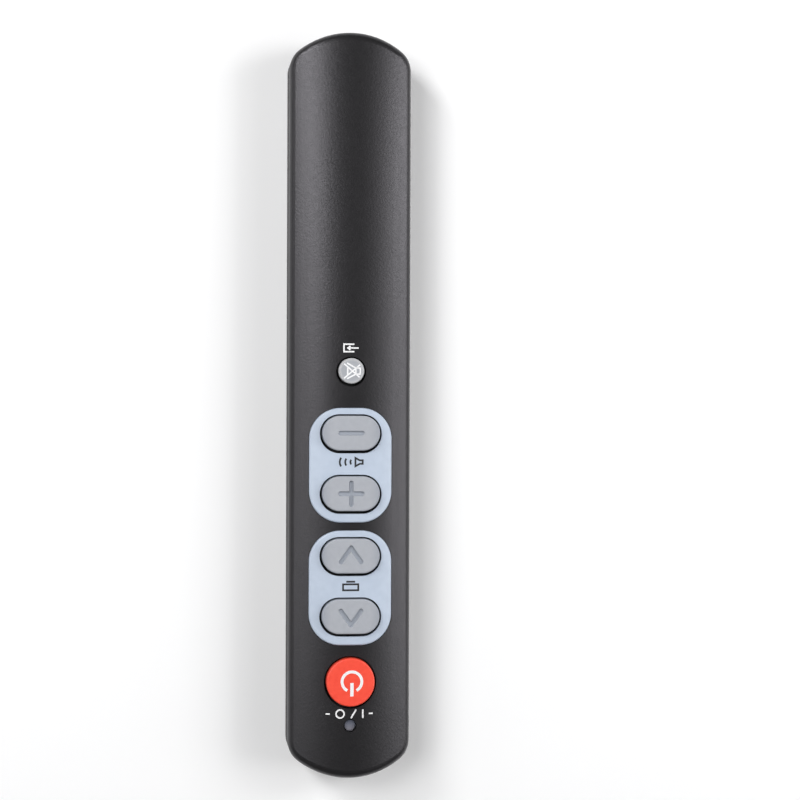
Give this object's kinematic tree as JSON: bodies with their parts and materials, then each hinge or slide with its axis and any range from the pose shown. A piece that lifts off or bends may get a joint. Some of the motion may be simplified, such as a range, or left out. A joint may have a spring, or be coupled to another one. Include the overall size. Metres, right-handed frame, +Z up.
{
  "type": "universal remote control",
  "caption": "Slim hand-held remote control with large rubber keys in two pale plates, a round red power key, and a sliding cover over two small cells.",
  "frame": {"origin": "centre of the outside box at its lowest face, the surface that the remote lies on", "axes": "+X across the case, +Y lengthwise towards the infrared diode, +Z up through the keys"},
  "size_m": [0.0282, 0.172, 0.0174],
  "materials": {
    "case_plastic": "fine-textured black moulding",
    "plate_plastic": "satin pale blue moulding",
    "key_rubber": "grey silicone rubber over a black skirt",
    "mute_rubber": "grey silicone rubber, printed",
    "power_rubber": "red silicone rubber, printed",
    "mat_rubber": "thin black silicone rubber",
    "carbon": "black conductive rubber",
    "board": "green solder mask on laminate",
    "plated_copper": "plated copper track",
    "chip_resin": "black moulding resin",
    "resonator_resin": "dipped brown resin",
    "capacitor_can": "dark shrunk sleeve on an aluminium can",
    "clear_resin": "clear cast resin",
    "lens_plastic": "smoked grey moulding",
    "cell_jacket": "printed grey and blue jacket on a steel can",
    "nickel_plate": "nickel-plated spring steel",
    "screw_steel": "zinc-plated steel"
  },
  "bodies": {
    "root": {"upper_case": "case_plastic", "lower_case": "case_plastic", "volume_plate": "plate_plastic", "channel_plate": "plate_plastic", "keypad_mat": "mat_rubber", "circuit_board": "board", "contact_pads": "plated_copper", "controller_chip": "chip_resin", "memory_chip": "chip_resin", "ceramic_resonator": "resonator_resin", "electrolytic_capacitor": "capacitor_can", "driver_transistor": "chip_resin", "chip_resistors": "chip_resin", "infrared_diode": "clear_resin", "indicator_lens": "lens_plastic", "indicator_lamp": "clear_resin", "left_cell": "cell_jacket", "right_cell": "cell_jacket", "positive_contact": "nickel_plate", "negative_contact": "nickel_plate", "bridge_contact": "nickel_plate", "front_spring": "nickel_plate", "tail_spring": "nickel_plate", "case_screws": "screw_steel", "board_screws": "screw_steel", "power_web": "mat_rubber", "channel_up_web": "mat_rubber", "channel_down_web": "mat_rubber", "volume_up_web": "mat_rubber", "volume_down_web": "mat_rubber", "av_mute_web": "mat_rubber"},
    "battery_cover": {"battery_cover": "case_plastic"},
    "power_key": {"power_key": "power_rubber", "power_pill": "carbon"},
    "channel_up_key": {"channel_up_key": "key_rubber", "channel_up_pill": "carbon"},
    "channel_down_key": {"channel_down_key": "key_rubber", "channel_down_pill": "carbon"},
    "volume_up_key": {"volume_up_key": "key_rubber", "volume_up_pill": "carbon"},
    "volume_down_key": {"volume_down_key": "key_rubber", "volume_down_pill": "carbon"},
    "av_mute_key": {"av_mute_key": "mute_rubber", "av_mute_pill": "carbon"}
  },
  "joints": [
    {"name": "battery_cover_slide", "type": "slide", "parent": "root", "child": "battery_cover", "axis": [0, -1, 0], "range_m": [0, 0.066]},
    {"name": "power_key_press", "type": "slide", "parent": "root", "child": "power_key", "axis": [0, 0, -1], "range_m": [0, 0.0009], "stiffness_N_per_m": 800, "deforming": ["power_web"]},
    {"name": "channel_up_key_press", "type": "slide", "parent": "root", "child": "channel_up_key", "axis": [0, 0, -1], "range_m": [0, 0.0009], "stiffness_N_per_m": 800, "deforming": ["channel_up_web"]},
    {"name": "channel_down_key_press", "type": "slide", "parent": "root", "child": "channel_down_key", "axis": [0, 0, -1], "range_m": [0, 0.0009], "stiffness_N_per_m": 800, "deforming": ["channel_down_web"]},
    {"name": "volume_up_key_press", "type": "slide", "parent": "root", "child": "volume_up_key", "axis": [0, 0, -1], "range_m": [0, 0.0009], "stiffness_N_per_m": 800, "deforming": ["volume_up_web"]},
    {"name": "volume_down_key_press", "type": "slide", "parent": "root", "child": "volume_down_key", "axis": [0, 0, -1], "range_m": [0, 0.0009], "stiffness_N_per_m": 800, "deforming": ["volume_down_web"]},
    {"name": "av_mute_key_press", "type": "slide", "parent": "root", "child": "av_mute_key", "axis": [0, 0, -1], "range_m": [0, 0.0009], "stiffness_N_per_m": 800, "deforming": ["av_mute_web"]}
  ]
}
